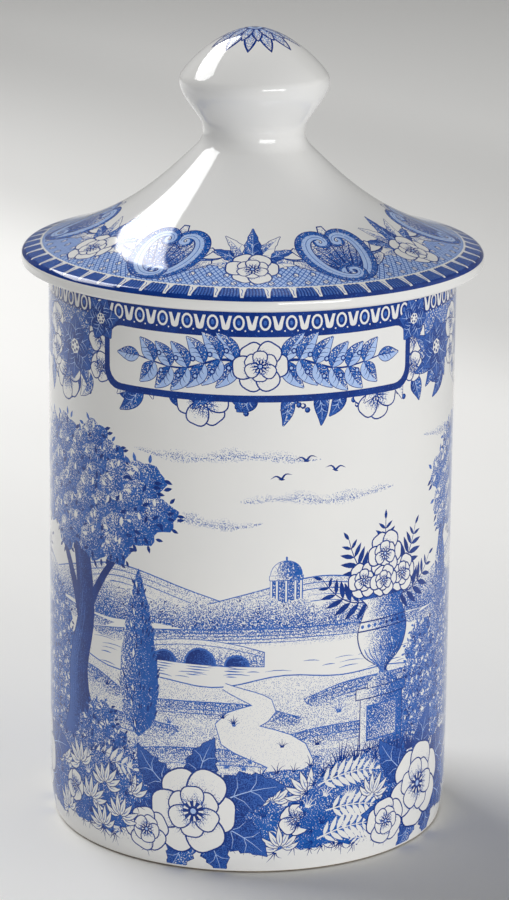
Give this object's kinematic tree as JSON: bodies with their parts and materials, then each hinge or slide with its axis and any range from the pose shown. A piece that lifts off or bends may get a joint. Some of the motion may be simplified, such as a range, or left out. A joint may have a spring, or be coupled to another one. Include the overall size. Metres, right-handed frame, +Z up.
{
  "type": "spice jar",
  "caption": "Cylindrical glazed ceramic spice jar with a flared lift-off lid, a round knob and a soft ring that seals the lid in the mouth.",
  "frame": {"origin": "middle of the foot ring, on the surface that the jar stands on", "axes": "+Z up along the jar's axis; -Y towards the side with the label panel, which faces the camera in the picture"},
  "size_m": [0.077, 0.077, 0.135],
  "materials": {
    "glaze": "glossy clear glaze over white earthenware with a blue underglaze print",
    "seal": "satin, slightly translucent silicone"
  },
  "bodies": {
    "jar": {"jar_body": "glaze"},
    "seal": {"seal_ring": "seal"},
    "cover": {"lid": "glaze"}
  },
  "joints": [
    {"name": "lid_lift", "type": "slide", "parent": "jar", "child": "seal", "axis": [0, 0, 1], "range_m": [0, 0.06]},
    {"name": "lid_turn", "type": "hinge", "parent": "seal", "child": "cover", "pos_m": [0, 0, 0.0959], "axis": [0, 0, 1], "continuous": true}
  ]
}
